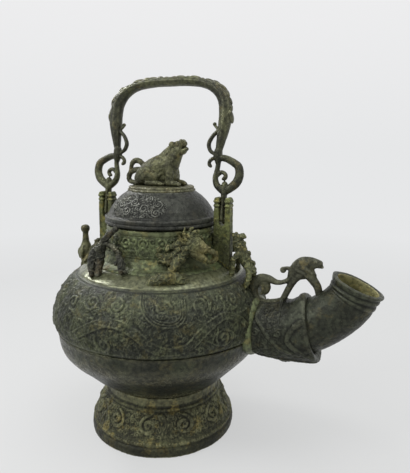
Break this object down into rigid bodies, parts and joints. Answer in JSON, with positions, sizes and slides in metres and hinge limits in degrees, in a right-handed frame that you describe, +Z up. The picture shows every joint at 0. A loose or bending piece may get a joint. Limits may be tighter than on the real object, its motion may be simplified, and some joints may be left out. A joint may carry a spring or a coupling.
{
  "type": "ritual kettle",
  "caption": "Cast bronze ritual kettle on a flared foot, with a horn spout in a beast-mouth sleeve, a lid with a seated beast, and a swinging bail handle.",
  "frame": {"origin": "under the middle of the whole kettle, on the surface it stands on", "axes": "+X towards the spout, +Z up; the bail swings about a line along X"},
  "size_m": [0.3208, 0.2172, 0.3553],
  "materials": {
    "foot_bronze": "cast bronze under a dark olive patina",
    "body_bronze": "cast bronze under a dark olive patina",
    "neck_bronze": "cast bronze under a dark olive patina",
    "lid_bronze": "cast bronze under a dark olive patina",
    "bail_bronze": "cast bronze under a dark olive patina",
    "beast_bronze": "cast bronze under a dark olive patina",
    "spout_bronze": "cast bronze under a dark olive patina"
  },
  "bodies": {
    "vessel": {"foot": "foot_bronze", "lower_bowl": "body_bronze", "upper_shell": "body_bronze", "neck_collar": "neck_bronze", "spout_flange": "neck_bronze", "lug_left": "neck_bronze", "lug_right": "neck_bronze", "pivot_pin_left": "bail_bronze", "pivot_pin_right": "bail_bronze", "climber_left_front": "beast_bronze", "climber_left_back": "beast_bronze", "climber_right_front": "beast_bronze", "climber_right_back": "beast_bronze", "spout_side_beast": "beast_bronze", "tail_side_beast": "beast_bronze", "tail_baluster": "beast_bronze", "spout_horn": "spout_bronze", "spout_sleeve": "spout_bronze", "spout_crest": "spout_bronze"},
    "lid": {"lid_dome": "lid_bronze", "lid_plinth": "lid_bronze", "lid_beast": "beast_bronze"},
    "bail": {"bail_arch": "bail_bronze", "bail_scroll_left": "bail_bronze", "bail_scroll_right": "bail_bronze"}
  },
  "joints": [
    {"name": "bail_swing", "type": "hinge", "parent": "vessel", "child": "bail", "pos_m": [-0.0534, 0, 0.221], "axis": [1, 0, 0], "range_deg": [-66, 84]},
    {"name": "lid_lift", "type": "slide", "parent": "vessel", "child": "lid", "axis": [0, 0, 1], "range_m": [0, 0.022]}
  ]
}
